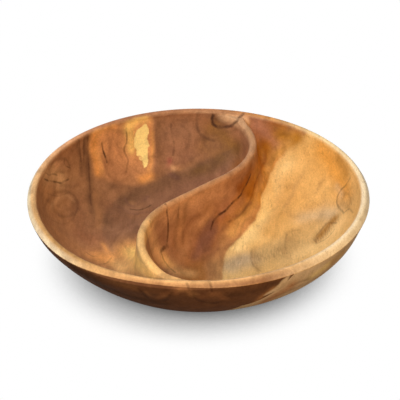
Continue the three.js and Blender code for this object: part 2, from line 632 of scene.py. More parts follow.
# %% Edge of the sapwood, from the outer wall over the floor to the back
edge_on_wall = [(288, 281), (268, 293), (243, 305)]
edge_inside = [
    (222, 272), (225, 259), (229, 249), (235, 240), (248, 229), (255, 219),
    (259, 206), (265, 190), (273, 171), (282, 155), (300, 139),
]
sap_lean = 0.78
lean_span = (-110, 50)


def lean_aside(x, z):
    """How far a growth layer has leaned to the right at a height; on the left, layers are upright."""
    return sap_lean * (z - floor_height / mm) * soft_step(x, *lean_span)


edge_places = np.array([on_wood(pixel) for pixel in edge_on_wall + edge_inside])
edge_places = edge_places[np.argsort(edge_places[:, 1])]
edge_foot = edge_places[:, 0] - lean_aside(edge_places[:, 0], edge_places[:, 2])
print("on the floor the sapwood begins at x", round(edge_foot.min()), "to", round(edge_foot.max()), "mm")


def growth(points):
    """Distance in millimetres across the growth layers, from the edge of the sapwood."""
    x, y, z = points.T
    return x - np.interp(y, edge_places[:, 1], edge_foot) - lean_aside(x, z)


# %% Stains and painted light, and ground colours across the growth layers
stains_and_painted_light = {
    "umber": (112, 72, 46),
    "bark": (126, 82, 50),
    "cocoa": (120, 76, 60),
    "walnut": (134, 84, 54),
    "chestnut": (152, 97, 62),
    "russet": (160, 100, 64),
    "wine": (150, 72, 60),
    "mauve": (172, 116, 94),
    "hazel": (128, 84, 34),
    "olive": (142, 74, 18),
    "ochre": (168, 104, 22),
    "tan": (174, 117, 74),
    "caramel": (188, 124, 80),
    "copper": (200, 140, 96),
    "peach": (214, 158, 108),
    "amber": (216, 140, 72),
    "gold": (224, 152, 86),
    "honey": (236, 178, 110),
    "straw": (255, 200, 114),
    "cream": (255, 216, 148),
    "biscuit": (248, 200, 132),
    "orange": (228, 156, 68),
    "wheat": (218, 162, 90),
    "khaki": (212, 166, 104),
    "sand": (214, 180, 138),
    "fawn": (192, 144, 88),
    "moss": (168, 110, 34),
    "saffron": (196, 130, 50),
    "tar": (66, 40, 24),
}
heart_ground = [
    (-170, (160, 108, 70)),
    (-110, (153, 102, 71)),
    (-60, (154, 102, 72)),
    (-40, (160, 105, 70)),
    (-32, (164, 98, 44)),
    (-19, (176, 112, 56)),
    (-14, (176, 120, 72)),
    (0, (194, 140, 86)),
]
sap_ground = [
    (-5, (244, 196, 126)),
    (30, (230, 178, 108)),
    (60, (230, 176, 106)),
    (110, (236, 188, 120)),
]
# Brown of the outer heartwood, painted darker than the inside: painted shade on the undercut wall
wall_heart_painted_shade = (108, 68, 44)
wall_sap = (222, 184, 146)
print(len(stains_and_painted_light), "stains in the box")

# %% [markdown]
# Strokes of stain and painted light
#
# Where the gouge cuts a growth layer at a slant, the layer shows as a wide cloud of brown. A noise
# texture makes clouds as well, but not in the places where this bowl has them. So every cloud is a
# soft stroke with a stain, a half width in millimetres, a share and a path in pixels. A few strokes
# are painted shadow and painted light rather than figure, and each of them is marked. Each list
# covers one part of the bowl, and later strokes lie over earlier ones.

# %% Strokes in the left compartment
left_strokes = [
    ("chestnut", 9, 0.6, [(52, 162), (66, 152), (82, 140)]),
    ("tan", 13, 0.75, [(46, 188), (56, 208), (66, 221)]),
    ("bark", 9, 0.7, [(98, 196), (99, 210), (101, 222)]),
    ("walnut", 8, 0.6, [(112, 205), (115, 218)]),
    # Painted shadow: this bark stroke deepens the divider's cast shadow on the floor
    ("bark", 10, 0.7, [(125, 196), (150, 186), (175, 176), (198, 166)]),
    ("tan", 10, 0.8, [(60, 236), (75, 247), (90, 256), (104, 262)]),
    ("russet", 9, 0.5, [(84, 236), (100, 242)]),
    # These three pale strokes are partly the wood's paler tone and partly painted light over the key's
    # shadow on the front-left floor and the lobe's left flank
    ("gold", 12, 0.95, [(104, 258), (118, 253), (131, 246)]),
    ("honey", 8, 0.85, [(118, 264), (132, 265), (144, 269)]),
    ("straw", 7, 0.9, [(134, 250), (139, 262), (150, 271)]),
    ("copper", 5, 0.5, [(102, 243), (110, 250)]),
    ("chestnut", 5, 0.6, [(132, 216), (141, 214), (148, 210)]),
    ("umber", 7, 0.6, [(125, 199), (135, 197)]),
    ("tan", 3, 0.6, [(132, 202), (139, 205), (143, 203)]),
    ("umber", 3.6, 0.85, [(86, 134), (86, 150), (87, 170), (90, 190), (91, 210)]),
    ("umber", 2.2, 0.6, [(79, 140), (80, 160), (82, 175)]),
    ("peach", 9, 0.8, [(46, 172), (54, 173), (59, 179)]),
    ("copper", 4.5, 0.6, [(56, 164), (62, 166)]),
    ("tan", 4, 0.8, [(64, 201), (69, 206)]),
    ("tan", 3, 0.5, [(96, 194), (97, 210), (99, 225)]),
    ("gold", 2, 0.7, [(101, 243), (105, 248), (110, 252)]),
    ("walnut", 9, 0.6, [(76, 205), (79, 220), (80, 232)]),
    ("umber", 1.6, 0.5, [(48, 202), (54, 194), (64, 192), (74, 197), (77, 207), (70, 216), (60, 217)]),
    ("umber", 1.5, 0.4, [(58, 207), (63, 201), (69, 203), (67, 210)]),
    ("peach", 2, 0.35, [(52, 209), (57, 199), (66, 196), (73, 202)]),
    ("umber", 1.5, 0.5, [(49, 168), (57, 160), (66, 160), (70, 168), (64, 174), (55, 172)]),
    ("umber", 1.6, 0.4, [(60, 185), (70, 188), (78, 184), (81, 176)]),
    ("cocoa", 1.8, 0.5, [(126, 198), (133, 205), (144, 202), (148, 196)]),
    ("cocoa", 1.8, 0.4, [(120, 207), (132, 213), (146, 212)]),
    ("walnut", 2, 0.4, [(94, 226), (106, 232), (118, 230), (128, 224)]),
]
print(len(left_strokes), "strokes on the left")

# %% Strokes in the flare at the back left
flare_strokes = [
    ("amber", 4, 0.9, [(94, 133), (95, 146), (95, 160), (97, 172)]),
    ("gold", 4, 0.85, [(97, 131), (105, 129), (113, 127)]),
    ("gold", 4, 0.6, [(97, 150), (99, 162), (101, 170)]),
    ("caramel", 7, 0.6, [(113, 140), (114, 155), (116, 170)]),
    ("tan", 3, 0.6, [(122, 124), (121, 135), (120, 148)]),
    ("caramel", 3, 0.7, [(126, 124), (127, 140), (128, 162)]),
    ("straw", 4.5, 0.9, [(130, 124), (136, 121), (144, 119)]),
    ("straw", 4.5, 0.85, [(129, 128), (131, 138), (131, 148)]),
    ("amber", 5, 0.85, [(143, 178), (151, 176)]),
    ("chestnut", 8, 0.6, [(109, 166), (116, 170), (124, 174)]),
    ("gold", 2, 0.8, [(153, 133), (153, 145), (151, 160), (149, 169)]),
    ("bark", 4, 0.6, [(158, 118), (158, 135), (159, 150), (159, 165), (158, 176)]),
    ("umber", 4, 0.6, [(110, 186), (124, 186), (136, 189)]),
    ("walnut", 1.6, 0.5, [(100, 150), (104, 165), (110, 177), (120, 183)]),
    ("walnut", 1.6, 0.4, [(118, 130), (117, 145), (121, 158), (131, 168), (142, 172)]),
    ("walnut", 1.5, 0.4, [(108, 132), (110, 145), (108, 156)]),
]
print(len(flare_strokes), "strokes in the flare")

# %% Strokes on the back wall
back_strokes = [
    ("chestnut", 8, 0.6, [(172, 118), (190, 115), (205, 120)]),
    ("walnut", 6, 0.7, [(220, 120), (232, 119)]),
    ("umber", 2.2, 0.6, [(208, 133), (218, 135), (228, 133), (236, 128)]),
    ("umber", 2, 0.5, [(203, 139), (215, 141), (226, 139)]),
    ("hazel", 9, 0.6, [(205, 146), (215, 153), (226, 149)]),
    ("hazel", 9, 0.75, [(214, 128), (226, 140), (235, 149)]),
    ("tar", 4, 0.6, [(216, 119), (225, 120), (233, 118)]),
    ("umber", 8, 0.3, [(214, 150), (228, 158), (233, 166)]),
    ("tan", 4, 0.5, [(176, 171), (186, 170)]),
    ("hazel", 6, 0.6, [(195, 171), (208, 167), (220, 160)]),
    ("tan", 3, 0.7, [(176, 168), (184, 168), (190, 166)]),
    ("wine", 2.4, 0.8, [(169, 161), (169, 166)]),
    ("cocoa", 3, 0.6, [(172, 174), (178, 177)]),
    ("peach", 2.2, 0.95, [(171, 167), (172, 168)]),
    ("umber", 1.6, 0.4, [(180, 124), (189, 134), (188, 147), (179, 156)]),
    ("umber", 1.6, 0.4, [(196, 126), (203, 138), (201, 151), (191, 161)]),
    ("umber", 1.6, 0.35, [(164, 122), (166, 136), (164, 150)]),
]
print(len(back_strokes), "strokes on the back wall")

# %% Strokes on the right side of the divider
divider_strokes = [
    ("copper", 10, 0.85, [(168, 210), (185, 201), (205, 193), (225, 185)]),
    ("chestnut", 7, 0.8, [(229, 184), (240, 175)]),
    ("peach", 7, 0.9, [(150, 224), (152, 240), (158, 255), (168, 266)]),
    ("tan", 10, 0.75, [(180, 222), (182, 240), (184, 256)]),
    ("tan", 9, 0.8, [(207, 212), (203, 225)]),
    ("cocoa", 7, 0.9, [(203, 248), (206, 238), (211, 230)]),
    ("walnut", 6, 0.8, [(195, 256), (200, 245)]),
    ("walnut", 5, 0.6, [(205, 258), (212, 250)]),
    ("umber", 2, 0.5, [(178, 213), (176, 230), (175, 245)]),
    ("bark", 2, 0.5, [(187, 205), (184, 225), (184, 240), (186, 255)]),
    ("honey", 6, 0.8, [(165, 262), (174, 268), (188, 273)]),
    ("walnut", 2.5, 0.7, [(197, 214), (190, 222), (185, 232), (183, 242)]),
    ("cocoa", 4, 0.7, [(209, 222), (203, 232), (199, 243), (197, 254)]),
    ("chestnut", 2, 0.5, [(172, 232), (174, 245), (179, 256), (188, 268)]),
    ("copper", 3, 0.5, [(206, 214), (198, 224)]),
]
print(len(divider_strokes), "strokes on the divider")

# %% Strokes between the divider and the sapwood
band_strokes = [
    ("russet", 9, 0.8, [(252, 119), (262, 125), (270, 136)]),
    ("mauve", 7, 0.5, [(256, 126), (264, 135), (270, 144)]),
    ("saffron", 7, 0.85, [(286, 154), (273, 169), (265, 187), (257, 205), (246, 214)]),
    ("gold", 5, 0.7, [(297, 142), (286, 152), (276, 164)]),
    ("caramel", 5, 0.8, [(257, 205), (246, 222), (234, 238)]),
    ("moss", 3, 0.8, [(298, 136), (286, 146), (274, 158), (265, 172)]),
    ("olive", 5, 0.85, [(251, 160), (250, 172), (245, 183), (239, 190)]),
    ("ochre", 7, 0.95, [(264, 150), (259, 165), (255, 180), (250, 192)]),
    ("ochre", 2.5, 0.8, [(247, 123), (253, 136), (258, 148)]),
    ("olive", 4, 0.6, [(262, 146), (257, 158)]),
    ("olive", 4, 0.5, [(253, 182), (248, 194)]),
    ("saffron", 3, 0.6, [(267, 154), (264, 165), (262, 175)]),
    ("mauve", 5, 0.5, [(229, 207), (222, 216)]),
    ("cocoa", 5, 0.5, [(217, 226), (214, 238)]),
    ("tan", 6, 0.8, [(241, 204), (232, 212)]),
    ("moss", 7, 0.9, [(280, 134), (288, 137), (296, 137)]),
    ("tan", 6, 0.6, [(226, 228), (232, 240), (222, 254)]),
    ("wheat", 5, 0.55, [
        (290, 143), (277, 156), (269, 169), (261, 187), (254, 204), (243, 219), (232, 233),
    ]),
    ("walnut", 1.8, 0.7, [(250, 203), (240, 215), (230, 221), (220, 234), (216, 248)]),
    ("olive", 1.8, 0.6, [(266, 152), (262, 165), (257, 180), (251, 195)]),
]
print(len(band_strokes), "strokes beside the sapwood")

# %% Strokes in the sapwood
sap_strokes = [
    ("cream", 7, 0.95, [
        (236, 247), (254, 229), (264, 212), (270, 197), (277, 182), (287, 166), (299, 150),
    ]),
    ("wheat", 14, 0.7, [(290, 190), (300, 200), (310, 210)]),
    ("wheat", 7, 0.6, [(281, 215), (274, 225), (266, 234)]),
    ("fawn", 2.2, 0.45, [(316, 152), (303, 172), (293, 190), (286, 206)]),
    ("fawn", 2.2, 0.4, [(332, 172), (320, 187), (308, 203)]),
    ("wheat", 13, 0.8, [(300, 151), (314, 158), (317, 171)]),
    ("orange", 10, 0.85, [(322, 149), (332, 163), (340, 178), (345, 200)]),
    ("moss", 5, 0.6, [(338, 158), (346, 172)]),
    ("biscuit", 14, 0.8, [(276, 252), (290, 256), (310, 247), (330, 233)]),
    ("biscuit", 10, 0.7, [(340, 210), (336, 225), (327, 242)]),
    # Painted shadow: this khaki stroke deepens the front rim's shadow on the floor
    ("khaki", 11, 0.7, [(250, 262), (262, 256), (274, 252), (288, 246)]),
    ("moss", 8, 0.95, [(278, 137), (289, 139), (299, 136)]),
    ("sand", 8, 0.7, [(303, 217), (318, 214), (334, 214)]),
    # Painted shadow: this sand stroke greys the floor in the front rim's shadow
    ("sand", 9, 0.9, [(230, 266), (238, 262), (246, 258)]),
    ("fawn", 6, 0.8, [(334, 220), (325, 230), (317, 238)]),
    ("moss", 4, 0.65, [(335, 219), (328, 227), (320, 235)]),
    ("sand", 4, 0.5, [(337, 186), (342, 196)]),
    ("fawn", 5, 0.6, [(342, 203), (348, 208)]),
    ("fawn", 2.2, 0.5, [(256, 247), (253, 255), (254, 264), (258, 270)]),
    ("fawn", 2.2, 0.5, [(287, 232), (285, 242), (286, 252), (290, 258)]),
    ("fawn", 2, 0.5, [(299, 229), (293, 231), (287, 233)]),
]
print(len(sap_strokes), "strokes in the sapwood")

# %% Strokes on the outer wall
# The tar strokes under the rim are partly figure and partly painted shade on the outer wall
wall_strokes = [
    ("tar", 7, 0.8, [(74, 267), (88, 277), (106, 287)]),
    ("tar", 6, 0.7, [(116, 291), (136, 298), (164, 303)]),
    ("bark", 3, 0.7, [(112, 281), (122, 285), (134, 288)]),
    ("russet", 3, 0.4, [(156, 298), (166, 295), (176, 294)]),
    ("tan", 2.5, 0.7, [(180, 291), (188, 292), (194, 296)]),
    ("chestnut", 4, 0.5, [(204, 297), (214, 295), (222, 299)]),
    ("tar", 4, 0.5, [(226, 296), (248, 292), (272, 285)]),
    ("tan", 3, 0.8, [(272, 289), (260, 298), (248, 306)]),
    ("tar", 1.6, 0.6, [(140, 290), (150, 299), (164, 300), (174, 294)]),
    ("tar", 1.6, 0.6, [(192, 293), (200, 300), (214, 303), (228, 299)]),
    ("tan", 1.6, 0.5, [(146, 292), (154, 297), (166, 296)]),
]
wall_sap_strokes = [
    ("caramel", 7, 0.8, [(290, 287), (276, 296), (264, 302)]),
    ("sand", 5, 0.8, [(310, 277), (322, 271)]),
    ("fawn", 6, 0.7, [(328, 266), (336, 259), (343, 252)]),
    ("bark", 2, 0.3, [(298, 282), (314, 275), (330, 264)]),
    ("walnut", 4, 0.3, [(266, 300), (284, 293), (302, 285), (320, 275), (334, 263)]),
    ("umber", 1.4, 0.35, [(292, 286), (304, 280), (318, 274)]),
    ("cream", 4, 0.6, [(316, 273), (326, 267)]),
]
print(len(wall_strokes + wall_sap_strokes), "strokes on the outer wall")

# %% [markdown]
# Dark lines and torn fibres
#
# Thin dark lines run through the heartwood, and in the sapwood torn fibres show as fields of short
# dark strokes. A line is finer than the mesh, so it can't be painted on points. Each point stores
# its distance to the nearest line instead, and the shader draws the line from that.

# %% Dark lines: half width in millimetres, darkness and path in pixels
line_reach = 9
dark_lines = [
    (0.8, 0.9, [(102, 143), (103, 150), (105, 156), (107, 162)]),
    (0.7, 0.6, [(126, 128), (127, 140), (124, 150), (128, 160), (126, 172)]),
    (0.7, 0.7, [(44, 179), (50, 181), (56, 182), (61, 183), (65, 181), (69, 179)]),
    (0.6, 0.5, [(46, 173), (49, 175), (53, 174), (57, 175)]),
    (0.6, 0.5, [(64, 160), (65, 165), (70, 168)]),
    (0.7, 0.6, [(130, 209), (138, 210), (146, 208), (151, 205)]),
    (1.1, 0.45, [(198, 113), (197, 122), (199, 132), (206, 138), (214, 141)]),
    (1.2, 0.85, [(213, 115), (212, 120), (214, 125), (220, 127), (230, 126), (237, 121)]),
    (1.1, 0.85, [(237, 121), (240, 117), (243, 114)]),
    (0.9, 0.45, [(171, 124), (172, 135), (174, 145), (173, 155)]),
    (0.8, 0.85, [(165, 204), (167, 211), (168, 220), (168, 232), (167, 243), (166, 247)]),
    (1.5, 0.9, [(161, 251), (164, 248), (167, 246)]),
    (0.7, 0.45, [(161, 252), (163, 258), (168, 266), (175, 272)]),
    (0.8, 0.5, [(147, 234), (149, 245), (152, 256), (158, 265)]),
    (0.9, 0.6, [(150, 221), (151, 227)]),
    (0.9, 0.9, [(251, 174), (247, 183), (243, 190), (240, 196), (232, 203)]),
    (0.9, 0.9, [(232, 203), (226, 210), (219, 215), (213, 222), (211, 230)]),
    (0.8, 0.35, [(264, 163), (257, 178), (252, 195), (247, 206), (238, 217), (228, 222)]),
    (0.8, 0.45, [(350, 178), (346, 185), (341, 190), (337, 198), (338, 206), (344, 213)]),
    (0.7, 0.35, [(344, 213), (349, 209), (353, 213)]),
    (0.8, 0.35, [(336, 223), (328, 223), (321, 230), (315, 238), (317, 243)]),
    (0.7, 0.3, [(318, 243), (327, 238), (335, 229)]),
    (0.7, 0.3, [(252, 249), (251, 258), (254, 266), (261, 271)]),
    (0.7, 0.3, [(287, 234), (285, 244), (287, 254)]),
    (0.8, 0.5, [(182, 279), (187, 284), (189, 290)]),
    (0.8, 0.5, [(209, 281), (211, 286), (212, 291)]),
    (0.7, 0.4, [(179, 199), (179, 208), (178, 218)]),
    (0.7, 0.45, [(79, 140), (80, 150), (81, 162)]),
    (0.7, 0.45, [(84, 138), (84, 150), (84, 165)]),
    (0.7, 0.45, [(88, 137), (88, 150), (89, 170), (90, 190), (91, 205)]),
    (0.6, 0.3, [(48, 194), (58, 196), (68, 193)]),
    (0.6, 0.3, [(52, 220), (62, 224), (72, 220), (78, 208)]),
    (0.6, 0.4, [(104, 264), (108, 262), (111, 258)]),
    (0.6, 0.3, [(86, 252), (92, 256), (97, 256)]),
]


def line_values(points):
    """Distance to the nearest dark line in shares of its half width, and how dark that line is."""
    nearest = np.full(len(points), float(line_reach))
    strength = np.zeros(len(points))
    for half_width, dark, pixels in dark_lines:
        gap = path_distance(points, wood_path(pixels), line_reach * half_width) / half_width
        nearer = gap < nearest
        nearest = np.where(nearer, gap, nearest)
        strength = np.where(nearer, dark, strength)
    return nearest, strength


print(len(dark_lines), "dark lines")

# %% Fields of torn fibres: half width in millimetres, share and path in pixels
hatched_fields = [
    (6, 0.4, [(345, 194), (352, 204)]),
    (5, 0.7, [(332, 225), (325, 233), (319, 239)]),
    (7, 0.25, [(296, 234), (300, 242)]),
    (9, 0.35, [(258, 258), (266, 255), (276, 252)]),
    (7, 0.25, [(234, 263), (244, 260)]),
    (7, 0.2, [(310, 205), (324, 204)]),
]


def hatch_values(points):
    """How thickly the short strokes stand at points."""
    return np.max([stroke_weight(points, *field) for field in hatched_fields], axis=0)


print(len(hatched_fields), "fields of torn fibres")

# %% [markdown]
# Flare
#
# At the back left, slanting fibres catch the light in an amber patch with a pale spot in it. Both
# are outlines on the wall, taken as upright shapes. The distance to an outline keeps an edge crisp,
# and noise can fray it later.

# %% Patches on the back wall
pale_outline = [
    (138, 129), (145, 127), (148, 131), (149, 140), (148, 152), (147, 165),
    (144, 169), (142, 160), (137, 154), (134, 148), (134, 138),
]
amber_outline = [
    (91, 133), (113, 126), (130, 122), (152, 118), (154, 135), (154, 165), (153, 179),
    (140, 184), (122, 186), (108, 184), (98, 179), (93, 168), (91, 150),
]
amber_color = (214, 142, 88)
flare_fade = (-3, 3)
flare_heights = (18, 40)
flare_low = 0.5
flare_gain = 0.4
patch_front = 40
off_patch = 99.0


def patch_distance(points, outline):
    """Distance to the edge of a patch in the upright plane, less than 0 inside, large at the front."""
    x, y, z = points.T
    best = np.full(len(x), far_away)
    inside = np.zeros(len(x), bool)
    corners = np.array([on_wood(pixel)[[0, 2]] for pixel in outline])
    for start, end in zip(corners, np.roll(corners, -1, axis=0)):
        span = end - start
        aside = x - start[0]
        above = z - start[1]
        share = np.clip((aside * span[0] + above * span[1]) / (span @ span), 0, 1)
        best = np.minimum(best, np.hypot(aside - share * span[0], above - share * span[1]))
        # A level line from a point crosses the outline an odd number of times if it lies inside
        crosses = (start[1] > z) != (end[1] > z)
        inside ^= crosses & (aside < above * span[0] / (span[1] if span[1] else least_span))
    return np.where(y > patch_front, np.where(inside, -best, best), off_patch)


print("the flare has", len(amber_outline), "corners and its pale spot", len(pale_outline))

# %% [markdown]
# Wear and painted highlight
#
# Hands and cloths polish what stands proud, so the rim and the top of the divider are paler than the
# wood beside them. The pale colour is also a painted highlight: the sheen of the light on the rim,
# on its outer bevel and on the crest of the divider is painted into it. The colour goes by the
# bearing round the bowl and by the way along the S, and the height says how much of it shows. The
# lower edge of the polished rim is where the oil ends, and where its painted light gives way to the
# painted shade of the wall.

# %% Colours of the worn wood with its painted highlight: bearing in degrees or way along the S in millimetres, and colour
rim_top = [
    (-180, (238, 190, 136)),
    (-160, (214, 164, 106)),
    (-140, (194, 144, 84)),
    (-100, (240, 184, 122)),
    (-60, (216, 172, 124)),
    (-40, (255, 226, 186)),
    (0, (255, 230, 192)),
    (40, (250, 214, 158)),
    (62, (214, 148, 84)),
    (80, (184, 126, 84)),
    (90, (176, 120, 84)),
    (130, (180, 120, 86)),
    (150, (238, 176, 130)),
    (180, (238, 190, 136)),
]
# The outer bevel of the rim is paler still: painted highlight where light from the left catches it
rim_side = [
    (-180, (255, 228, 182)),
    (-155, (255, 224, 182)),
    (-140, (255, 226, 184)),
    (-125, (238, 184, 124)),
    (-110, (196, 140, 92)),
    (-90, (184, 132, 90)),
    (-70, (158, 112, 78)),
    (-42, (255, 222, 180)),
    (-15, (248, 222, 182)),
    (0, (255, 234, 198)),
    (180, (255, 228, 182)),
]
ridge_wear_and_highlight = [
    (-160, (246, 190, 120)),
    (-90, (247, 196, 126)),
    (-45, (204, 144, 94)),
    (40, (198, 138, 92)),
    (100, (216, 160, 114)),
    (150, (234, 180, 132)),
]


print("wear has", len(rim_top + rim_side + ridge_wear_and_highlight), "stops of colour")

# %% Where the wear and the painted highlight show
rim_start = 141
rim_full = 143.5
rim_side_inset = 1
foot_below = 0.3
rim_rise = 2.4
rise_side = (-106, 24)
rim_fade = 0.5
front_way = (60, 120)
front_shift = 1.6
front_spread = 0.7
end_widening = 2
ridge_band = (2.6, 4.6)
ridge_heights = (54, 60)
ridge_share = 0.75
wear_and_highlight_share = 0.88


def rim_foot(turn):
    """Height of the lower edge of the polished rim with its painted highlight, which is slimmer at the
    front left.
    """
    return wall_top / mm - foot_below + rim_rise * bump(turn, *rise_side)


def wear_and_highlight(points):
    """Colour of the polished rim and ridge with the painted highlight on them, and how much of it shows.
    """
    x, y, z = points.T
    radius = np.hypot(x, y)
    turn = np.degrees(np.arctan2(y, x))
    side = soft_step(radius, rim_middle / mm, bowl_radius / mm - rim_side_inset)[:, None]
    rim_color = color_row(turn, rim_top) * (1 - side) + color_row(turn, rim_side) * side
    height = z + rim_drop(turn) / mm
    foot = rim_foot(turn)
    on_rim = soft_step(radius, rim_start, rim_full) * soft_step(height, foot - rim_fade, foot + rim_fade)
    left, along = ridge_place(x * mm, y * mm)
    at_front = soft_step(-along / mm, *front_way)
    spread = 1 + end_widening * near_end(x * mm, y * mm) + front_spread * at_front
    aside = np.abs(left / mm + front_shift * at_front) / spread
    on_ridge = (1 - soft_step(aside, *ridge_band)) * soft_step(height, *ridge_heights)
    share = np.maximum(on_rim, ridge_share * on_ridge * (1 - on_rim))
    rim_share = on_rim[:, None]
    color = color_row(along / mm, ridge_wear_and_highlight) * (1 - rim_share) + rim_color * rim_share
    return color, wear_and_highlight_share * share


# %% Outside and inside of the bowl
wall_start = 100
foot_margin = 0.1
base_skin = 1


def on_outside(points):
    """Whether points lie on the outer wall or under the base, not on the rim or inside."""
    x, y, z = points.T
    radius = np.hypot(x, y)
    turn = np.degrees(np.arctan2(y, x))
    height = z + rim_drop(turn) / mm
    in_wall = z < below_share * dish_height(radius * mm) / mm
    below = np.where(radius > rim_start, height < rim_foot(turn) - foot_margin, in_wall)
    return below & ((radius > wall_start) | (z < base_skin))


# %% Lay the figure on the points


def wood_tints(points, layers):
    """Painted colours of the heartwood and of the sapwood."""
    heart = color_row(layers, heart_ground)
    in_flare = soft_step(-patch_distance(points, amber_outline), *flare_fade)
    amber = in_flare * (flare_low + flare_gain * soft_step(points[:, 2], *flare_heights))
    heart += amber[:, None] * (linear(amber_color) - heart)
    for strokes in (left_strokes, flare_strokes, back_strokes, divider_strokes, band_strokes):
        paint(heart, points, strokes)
    sap = color_row(layers, sap_ground)
    paint(sap, points, sap_strokes)
    return heart, sap


def lay_figure(piece):
    """Stores the figure of the wood on the points of a piece."""
    count = len(piece.data.vertices)
    flat = np.empty(count * 3)
    piece.data.vertices.foreach_get("co", flat)
    points = flat.reshape(-1, 3) / mm
    bent = wander(points)
    layers = growth(bent)
    heart, sap = wood_tints(bent, layers)
    outside = on_outside(points)
    # The outer heartwood takes a darker colour, which is painted shade under the rim's overhang
    heart[outside] = linear(wall_heart_painted_shade)
    sap[outside] = linear(wall_sap)
    paint(heart, bent, wall_strokes)
    paint(sap, bent, wall_sap_strokes)
    # Rim and crest colours: wear together with a painted highlight
    polish_and_highlight_color, polish_and_highlight = wear_and_highlight(points)
    polish_and_highlight = np.where(outside, 0, polish_and_highlight)
    line_gap, line_strength = line_values(points)
    floats = {
        "growth": layers,
        "line_gap": line_gap,
        "line_strength": line_strength,
        "pale": np.where(outside, off_patch, patch_distance(bent, pale_outline)),
        "hatch": hatch_values(points),
    }
    for name, value in floats.items():
        layer = piece.data.attributes.new(name, "FLOAT", "POINT")
        layer.data.foreach_set("value", value.astype(np.float32))
    for name, tint in (("heart_tint", heart), ("sap_tint", sap)):
        tint += polish_and_highlight[:, None] * (polish_and_highlight_color - tint)
        layer = piece.data.attributes.new(name, "FLOAT_COLOR", "POINT")
        colors = np.hstack([tint, np.ones((count, 1))]).astype(np.float32)
        layer.data.foreach_set("color", colors.ravel())
    print(piece.name, "growth from", round(float(layers.min())), "to", round(float(layers.max())))


for piece in (shell, divider):
    lay_figure(piece)

# %% [markdown]
# Teak, oiled to a satin
#
# Heartwood is brown and full of figure, sapwood is honey coloured and calm. The painted colours are
# mixed along the edge of the sapwood, and then come fine layers, fibres along the trunk and short
# open pores. The inside is oiled and has a satin sheen. The outer wall is dry and dull.

# %% Helpers for nodes


def add_node(tree, kind, sockets=None, **settings):
    """A shader node with its settings, and its sockets given as values or as outputs to link."""
    node = tree.nodes.new(kind)
    for name, value in settings.items():
        setattr(node, name, value)
    for name, value in (sockets or {}).items():
        if isinstance(value, bpy.types.NodeSocket):
            tree.links.new(value, node.inputs[name])
        else:
            node.inputs[name].default_value = value
    return node


def calc(tree, operation, first, second=0.0):
    """One step of arithmetic."""
    return add_node(tree, "ShaderNodeMath", {0: first, 1: second}, operation=operation).outputs[0]


def fade(tree, value, start, end, low=0.0, high=1.0):
    """A smooth change from low to high while value goes from start to end."""
    sockets = {"Value": value, "From Min": start, "From Max": end, "To Min": low, "To Max": high}
    return add_node(tree, "ShaderNodeMapRange", sockets, interpolation_type="SMOOTHSTEP").outputs[0]


def rgb(color):
    """A colour read off a screen, for a colour socket."""
    return (*linear(color).tolist(), 1.0)


def blend(tree, share, first, second, mode="MIX"):
    """Two colours mixed by a share."""
    sockets = {0: share, 6: first, 7: second}
    return add_node(tree, "ShaderNodeMix", sockets, data_type="RGBA", blend_type=mode).outputs[2]


def tone(tree, color, share, dark, light):
    """A colour multiplied by a tint that goes from dark to light with a share."""
    tint = blend(tree, share, (*dark, 1.0), (*light, 1.0))
    return blend(tree, 1.0, color, tint, "MULTIPLY")


def figure(tree, name, output="Fac"):
    """A value or a colour that was laid on the points of the mesh."""
    return add_node(tree, "ShaderNodeAttribute", attribute_name=name).outputs[output]


def noise(tree, place, stretch, detail=3.0, roughness=0.55):
    """Noise with one patch per stretch, given in millimetres along x, y and z."""
    scale = tuple(1 / (length * mm) for length in stretch)
    spread = add_node(tree, "ShaderNodeMapping", {"Vector": place, "Scale": scale}).outputs[0]
    sockets = {"Vector": spread, "Scale": 1.0, "Detail": detail, "Roughness": roughness}
    return add_node(tree, "ShaderNodeTexNoise", sockets).outputs["Fac"]


def swing(tree, value, size):
    """Noise about its middle, from about minus half to plus half of a size."""
    return calc(tree, "MULTIPLY", calc(tree, "SUBTRACT", value, 0.5), size)


# %% Heartwood and sapwood, with sizes of noise in millimetres
pale_spot = (255, 216, 136)
edge_waves = (12, 26, 12)
edge_swing = 7.0
edge_blur = 1.8
cloud_size = (9, 18, 9)
heart_clouds = ((0.84, 0.82, 0.82), (1.16, 1.17, 1.16))
sap_clouds = ((0.92, 0.9, 0.86), (1.06, 1.07, 1.08))
jag_size = (6, 6, 9)
jag_swing = 7.0
pale_blur = 0.7


def wood_color(tree, place):
    """Growth value, share of sapwood and colour of the teak at a place in the block."""
    wave = swing(tree, noise(tree, place, edge_waves, 4.0), edge_swing)
    value = calc(tree, "ADD", figure(tree, "growth"), wave)
    sap = fade(tree, value, -edge_blur, edge_blur)
    cloud = fade(tree, noise(tree, place, cloud_size, 5.0, 0.62), 0.3, 0.7)
    heart_color = tone(tree, figure(tree, "heart_tint", "Color"), cloud, *heart_clouds)
    sap_color = tone(tree, figure(tree, "sap_tint", "Color"), cloud, *sap_clouds)
    color = blend(tree, sap, heart_color, sap_color)
    jag = swing(tree, noise(tree, place, jag_size, 4.0), jag_swing)
    pale = calc(tree, "ADD", figure(tree, "pale"), jag)
    color = blend(tree, fade(tree, pale, pale_blur, -pale_blur), color, rgb(pale_spot))
    return value, sap, color


# %% Layers, streaks, torn fibres and lines
layer_brown = (92, 54, 30)
streak_brown = (146, 98, 56)
torn_brown = (116, 74, 36)
line_brown = (56, 28, 16)
# Each pair of strengths is for the heartwood and for the sapwood
layer_strengths = (0.2, 0.1)
streak_strengths = (0.14, 0.32)
layer_bend = (24, 40, 24)
bend_swing = 30.0
layer_share = 0.35
layer_rate = 0.75
layer_patches = (24, 50, 24)
streak_size = (1.7, 10, 2.4)
streak_patches = (17, 22, 17)
torn_size = (1.0, 8, 1.5)
fray_size = (3, 4, 4)
fray_swing = 1.8
line_patches = (9, 9, 9)
line_edge = (2.2, 0.1)


